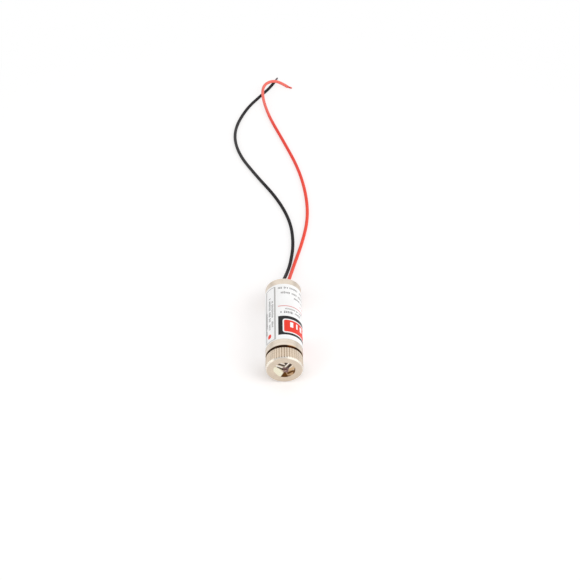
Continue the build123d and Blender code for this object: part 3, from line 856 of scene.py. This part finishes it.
label = {
    "outerRadius": (labelHigh.x - labelLow.x) / 2,
    "thickness": 0.07 * mm,
    "seamDegrees": -62.0,
    "seamWidth": 1.4 * mm,
    "edgeBreak": 0.02 * mm,
    "columns": 288,
    "paper": colour(255, 255, 255),
    "shade": colour(251, 250, 249),
    "black": colour(12, 12, 13),
    "red": colour(243, 54, 34),
    "grey": colour(184, 182, 180),
    "smallPrint": colour(90, 86, 84),
    "darkPrint": colour(56, 54, 56),
    "rose": colour(220, 132, 132),
}
printBlocks = [  # tone, middle and half size, both round the barrel from its top and along it, corner, in mm
    ("grey", (-4.98, 2.4), (2.28, 11.75), 0.35),  # left panel in a thin frame, with a band and a dot
    ("paper", (-4.93, 2.4), (1.68, 11.45), 0.2), ("smallPrint", (-6.95, -0.5), (0.24, 5.1), 0.1),
    ("red", (-5.25, -7.0), (0.75, 0.9), 0.7),
    ("black", (5.6, -3.75), (7.45, 4.1), 0.05),  # dark panel, and a red patch with bars in a white line
    ("paper", (6.5, -3.95), (6.9, 3.0), 0.9), ("red", (6.5, -3.95), (6.45, 2.55), 0.55),
    ("paper", (2.6, -3.3), (0.55, 1.1), 0.15), ("paper", (4.6, -3.3), (0.3, 1.1), 0.15),
    ("paper", (6.6, -3.3), (0.55, 1.1), 0.15), ("paper", (8.6, -3.3), (0.3, 1.1), 0.15),
    ("paper", (10.6, -3.3), (0.55, 1.1), 0.15),
    ("rose", (3.6, 4.82), (5.5, 0.16), 0.1), ("smallPrint", (1.35, 13.1), (0.12, 0.35), 0.05)]
rowsAcross = [  # place along the barrel, from and to round it from its top, height, tone, in mm
    (13.1, -1.9, 0.9, 0.8, "darkPrint"), (13.1, 2.0, 9.6, 0.75, "darkPrint"),
    (10.85, -0.95, 9.8, 0.85, "smallPrint"), (8.95, 3.6, 9.4, 0.75, "smallPrint"),
    (6.85, 5.9, 9.6, 0.6, "rose"), (3.55, 0.4, 7.2, 0.65, "smallPrint"),
    (2.05, -1.15, 3.2, 0.95, "darkPrint"), (2.15, 3.8, 6.4, 0.8, "darkPrint")]
columnsAlong = [  # place round the barrel, from and to along it, height, tone
    (-5.15, -0.6, 9.9, 0.9, "darkPrint"), (-5.15, -4.2, -1.8, 0.85, "smallPrint"),
    (-3.95, 0.6, 8.2, 0.7, "smallPrint"), (-3.95, -4.0, -1.0, 0.7, "smallPrint"),
    (-6.75, -5.6, 4.6, 0.9, "darkPrint"), (-9.3, -2.0, 9.9, 0.7, "smallPrint")]


def buildPrintBlock():
    # Mask of a rectangle with round corners on the flat sheet, in mm
    tree, given, made = newGroup("printBlock", "ShaderNodeTree", {
        "Sheet": "Vector", "Centre": (0, 0, 0), "Half Size": (1, 1, 1), "Corner": 0.2, "Softness": 0.03},
        "Ink")
    offset = vectorCalc("ABSOLUTE", vectorCalc("SUBTRACT", given["Sheet"], given["Centre"]))
    part = splitVector(vectorCalc("SUBTRACT", offset, given["Half Size"]))
    across, along = plus(part[0], given["Corner"]), plus(part[1], given["Corner"])
    corner = lengthOf(calc("MAXIMUM", across, 0.0), calc("MAXIMUM", along, 0.0))
    inner = calc("MINIMUM", calc("MAXIMUM", across, along), 0.0)
    outside = minus(plus(corner, inner), given["Corner"])
    edge = given["Softness"]
    tree.links.new(ramp(outside, edge, times(edge, -1.0)), made["Ink"])
    return tree


def buildSmallPrint():
    # A row of little strokes with gaps between groups, which stands for print too small to read
    tree, given, made = newGroup("smallPrint", "ShaderNodeTree", {
        "Along": 0.0, "Across": 0.0, "From": 0.0, "To": 1.0, "Row": 0.0, "Height": 0.7, "Step Share": 0.62,
        "Gaps": 0.11, "Hollow": 0.55, "Seed": 0.0}, "Ink")
    step = times(given["Height"], given["Step Share"])
    cell = calc("DIVIDE", minus(given["Along"], given["From"]), step)
    index = plus(calc("FLOOR", cell), times(given["Seed"], 57.0))
    pick, other = [
        addNode(tree, "ShaderNodeTexWhiteNoise", {"W": key}, noise_dimensions="1D")["Value"]
        for key in (index, plus(index, 0.37))]
    stroke = ramp(calc("ABSOLUTE", minus(calc("FRACT", cell), 0.5)), 0.40, 0.34)
    shown = calc("GREATER_THAN", pick, given["Gaps"])
    tall = times(given["Height"], ramp(other, 0.3, 0.9, 0.36, 0.5, smooth=False))
    near = calc("ABSOLUTE", minus(given["Across"], given["Row"]))
    inside = times(calc("GREATER_THAN", given["Along"], given["From"]),
                   calc("LESS_THAN", given["Along"], given["To"]))
    middle = calc("LESS_THAN", near, times(tall, 0.45))
    hollow = minus(1.0, times(given["Hollow"], middle))
    inRow = calc("LESS_THAN", near, tall)
    tree.links.new(times(stroke, shown, inRow, inside, hollow), made["Ink"])
    return tree


def makeLabelPrint():
    printBlock, smallPrint = buildPrintBlock(), buildSmallPrint()
    material, tree, shader = newMaterial(
        "labelPrint", {"Specular IOR Level": 0.3, "Coat Weight": 0.12, "Coat Roughness": 0.3})
    sheet = addNode(tree, "ShaderNodeAttribute", attribute_name="sheetPlace")["Vector"]
    part = splitVector(sheet)
    drift = useGroup(tree, patina, {"Patch Size mm": 4.0, "Speck Size mm": 0.1, "Seed": 31.0})
    tone = mixColours(times(drift["Drift"], 0.5), label["paper"], label["shade"])
    for ink, centre, half, corner in printBlocks:
        mask = useGroup(tree, printBlock, {
            "Sheet": sheet, "Centre": centre + (0,), "Half Size": half + (1,), "Corner": corner})
        tone = mixColours(mask["Ink"], tone, label[ink])
    for rows, along, across, firstSeed in ((rowsAcross, 0, 1, 1.0), (columnsAlong, 1, 0, 20.0)):
        for k, (row, low, high, height, ink) in enumerate(rows):
            mask = useGroup(tree, smallPrint, {
                "Along": part[along], "Across": part[across], "From": low, "To": high, "Row": row,
                "Height": height, "Seed": firstSeed + k})
            tone = mixColours(mask["Ink"], tone, label[ink])
    rough = ramp(drift["Drift"], 0.0, 1.0, 0.38, 0.5)
    finishSurface(shader, tone, rough, drift["Drift"], 0.12, 0.02)
    return material


def makeLabel():
    outer, thickness, edge = label["outerRadius"], label["thickness"], label["edgeBreak"]
    halfGap = math.asin(label["seamWidth"] / 2 / (outer - thickness / 2))
    first = math.radians(label["seamDegrees"]) + halfGap
    turn = math.tau - 2 * halfGap
    angles = [first + turn * k / label["columns"] for k in range(label["columns"] + 1)]
    # Section of the sheet along the barrel: out along the print side, back along the glue side
    section = [
        (labelLow.y, outer - edge), (labelLow.y + edge, outer), (labelHigh.y - edge, outer),
        (labelHigh.y, outer - edge), (labelHigh.y, outer - thickness), (labelLow.y, outer - thickness)]
    mesh = turnOutline("label", section, angles, closed=False)
    places = [((math.pi / 2 - angle) * outer / mm, y / mm, 0.0) for angle in angles for y, r in section]
    attribute = mesh.attributes.new("sheetPlace", "FLOAT_VECTOR", "POINT")
    attribute.data.foreach_set("vector", [c for place in places for c in place])
    return smoothPiece("printedLabel", mesh, 30, makeLabelPrint())


sticker = makeLabel()
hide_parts("label")
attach(sticker, "housing")
print("label ready")


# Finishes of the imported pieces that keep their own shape

def finishNodes(material, *nodeNames):
    for nodeName in nodeNames:
        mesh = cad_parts[nodeName].data
        mesh.materials.clear()
        mesh.materials.append(material)


def makeMoulded(name, main, second, roughness, grain, seed, finish=None):
    material, tree, shader = newMaterial(name, finish or {})
    drift = useGroup(tree, patina, {"Patch Size mm": grain * 6, "Speck Size mm": grain, "Seed": seed})
    tone = mixColours(times(drift["Drift"], 0.6), colour(*main), colour(*second))
    rough = ramp(drift["Drift"], 0.0, 1.0, roughness - 0.05, roughness + 0.07)
    finishSurface(shader, tone, rough, drift["Speck"], 0.25, 0.01)
    return material


drawnNickel = makeTurnedMetal("drawnNickel", "nickel", "dullNickel", "steel", 0.25, 5.0, 0.002, 8.0)
goldPlate = makeTurnedMetal("goldPlate", "gold", "rawBrass", "gold", 0.24, 6.0, 0.002, 10.0)
finishNodes(barrelPlate, "barrel")
finishNodes(collarBrass, "lens_retainer", "diode_collar")
finishNodes(goldPlate, "diode_base", "diode_pins")
finishNodes(drawnNickel, "diode_cap")
finishNodes(tinned, "lead_cores")
mouldedPieces = {  # for each piece its finish, two tones, roughness, grain in mm, seed and other sockets
    "collimating_lens": ("lensCoat", (150, 118, 114), (124, 94, 98), 0.12, 0.6, 41.0, {"Coat Weight": 0.5}),
    "diode_window": (
        "windowGlass", (214, 222, 222), (200, 210, 210), 0.06, 0.4, 42.0, {"Transmission Weight": 0.9}),
    "pin_seals": ("sealGlass", (62, 84, 72), (48, 66, 58), 0.12, 0.2, 43.0),
    "rear_seal": ("blackResin", (34, 33, 34), (46, 45, 46), 0.30, 0.5, 44.0),
    "lens_washer": ("blackRubber", (36, 36, 36), (46, 46, 46), 0.65, 0.15, 45.0),
    "driver_board": ("solderMask", (28, 96, 58), (36, 112, 66), 0.32, 0.5, 46.0),
    "driver_transistor resistors": ("blackMoulding", (40, 40, 42), (52, 52, 54), 0.5, 0.1, 47.0),
    "capacitor": ("tanMoulding", (206, 168, 92), (192, 152, 78), 0.42, 0.1, 48.0),
    "chip_submount": ("paleCeramic", (226, 224, 214), (212, 210, 200), 0.5, 0.08, 49.0),
    "laser_chip": ("darkCrystal", (84, 84, 92), (66, 66, 74), 0.18, 0.05, 50.0),
    "pin_solder lead_solder": (
        "brightSolder", (200, 198, 196), (176, 174, 174), 0.3, 0.2, 51.0, {"Metallic": 1.0}),
}
for nodeNames, look in mouldedPieces.items():
    finishNodes(makeMoulded(*look), *nodeNames.split())
print("packed pieces finished")


# Stage: pale table and plain light, and a room that is dimmer in mirrors on one side

studio = {
    "tableHalf": 12.0,
    "tableTone": 0.86,
    "seenTableTone": (1.0, 0.972, 0.965),
    "seenTableGlow": 0.14,
    "mirroredTableGlow": 0.09,
    "fadeMiddle": (-0.004, -0.003, 0.0),
    "fadeSpan": (0.02, 0.2),
    "quickFadeSpan": (0.023, 0.034),
    "quickFade": 0.6,
    "roomLight": 0.72,
    "horizonTone": 0.6,
    "horizonSpan": (0.0, 0.4),
    "behindSpan": (0.0, 0.5),
    "dimSide": (-0.36, -0.70, 0.63),
    "dimSpan": (0.76, 0.90),
    "dimTone": 0.62,
    "frontSpan": (0.0, -0.3),
    "frontGain": 1.14,
}
lamps = {  # way to the lamp, distance, width, power
    "keyLamp": ((0.78, -0.28, 0.56), 1.5, 1.5, 8.5),
    "fillLamp": ((-0.78, -0.52, 0.35), 1.4, 1.1, 4.0),
}


def seenDirectly(tree):
    # What the camera sees, and what mirrors and clear pieces show, apart from the light on things
    path = addNode(tree, "ShaderNodeLightPath")
    return path["Is Camera Ray"], calc("MAXIMUM", path["Is Glossy Ray"], path["Is Transmission Ray"])


def makeTable():
    mesh = bpy.data.meshes.new("table")
    half = studio["tableHalf"]
    corners = [(-half, -half, 0), (half, -half, 0), (half, half, 0), (-half, half, 0)]
    mesh.from_pydata(corners, [], [(0, 1, 2, 3)])
    material, tree, shader = newMaterial("tableTop", {})
    tree.nodes.remove(shader)
    # Seen directly, the table keeps the shadow near the module and is plain white far from it
    seen, mirrored = seenDirectly(tree)
    reach = vectorCalc("DISTANCE", objectPlace(tree), studio["fadeMiddle"])
    far = calc("MAXIMUM", ramp(reach, *studio["fadeSpan"]),
               ramp(reach, *studio["quickFadeSpan"], 0.0, studio["quickFade"]))
    near = minus(1.0, far)
    seenTone = vectorCalc("SCALE", studio["seenTableTone"], Scale=times(seen, near))
    tone = vectorCalc("ADD", seenTone, times(minus(1.0, seen), studio["tableTone"]))
    seenGlow = plus(far, times(near, studio["seenTableGlow"]))
    glowing = plus(times(seen, seenGlow), times(mirrored, studio["mirroredTableGlow"]))
    matt = addNode(tree, "ShaderNodeBsdfDiffuse", {"Color": tone})
    glow = addNode(tree, "ShaderNodeEmission", {"Strength": glowing})
    both = addNode(tree, "ShaderNodeAddShader", {0: matt[0], 1: glow[0]})
    fillSockets(tree.nodes["Material Output"], {"Surface": both[0]})
    table = newPiece("table", mesh, material)


def makeLamp(name, way, distance, size, power):
    light = bpy.data.lights.new(name, "AREA")
    light.shape = "DISK"
    light.size = size
    light.energy = power
    lamp = bpy.data.objects.new(name, light)
    lamp.location = Vector(way).normalized() * distance
    lamp.rotation_euler = (-Vector(way)).to_track_quat("-Z", "Y").to_euler()
    lamp.visible_glossy = False  # mirrors show the room alone
    bpy.context.scene.collection.objects.link(lamp)


def makeRoom():
    # A white room, in mirrors dimmer near the far horizon and to one side, and a little brighter in front
    world = bpy.data.worlds.new("room")
    bpy.context.scene.world = world
    world.use_nodes = True
    tree = world.node_tree
    way = addNode(tree, "ShaderNodeTexCoord")["Generated"]
    facing = vectorCalc("DOT_PRODUCT", way, Vector(studio["dimSide"]).normalized())
    dimmed = ramp(facing, *studio["dimSpan"], 1.0, studio["dimTone"])
    part = splitVector(way)
    low = ramp(calc("ABSOLUTE", part[2]), *studio["horizonSpan"], 1.0, 0.0)
    behind = times(low, ramp(part[1], *studio["behindSpan"]))
    horizon = minus(1.0, times(behind, 1.0 - studio["horizonTone"]))
    seen, mirrored = seenDirectly(tree)
    lit = times(minus(1.0, calc("MAXIMUM", seen, mirrored)), studio["roomLight"])
    front = ramp(part[1], *studio["frontSpan"], 1.0, studio["frontGain"])
    reflected = times(mirrored, times(dimmed, horizon, front))
    strength = plus(plus(lit, reflected), seen)
    fillSockets(tree.nodes["Background"], {"Strength": strength, "Color": (1, 1, 1, 1)})


makeTable()
for name, lamp in lamps.items():
    makeLamp(name, *lamp)
makeRoom()
bpy.context.scene.view_settings.view_transform = "Standard"
print("studio ready")
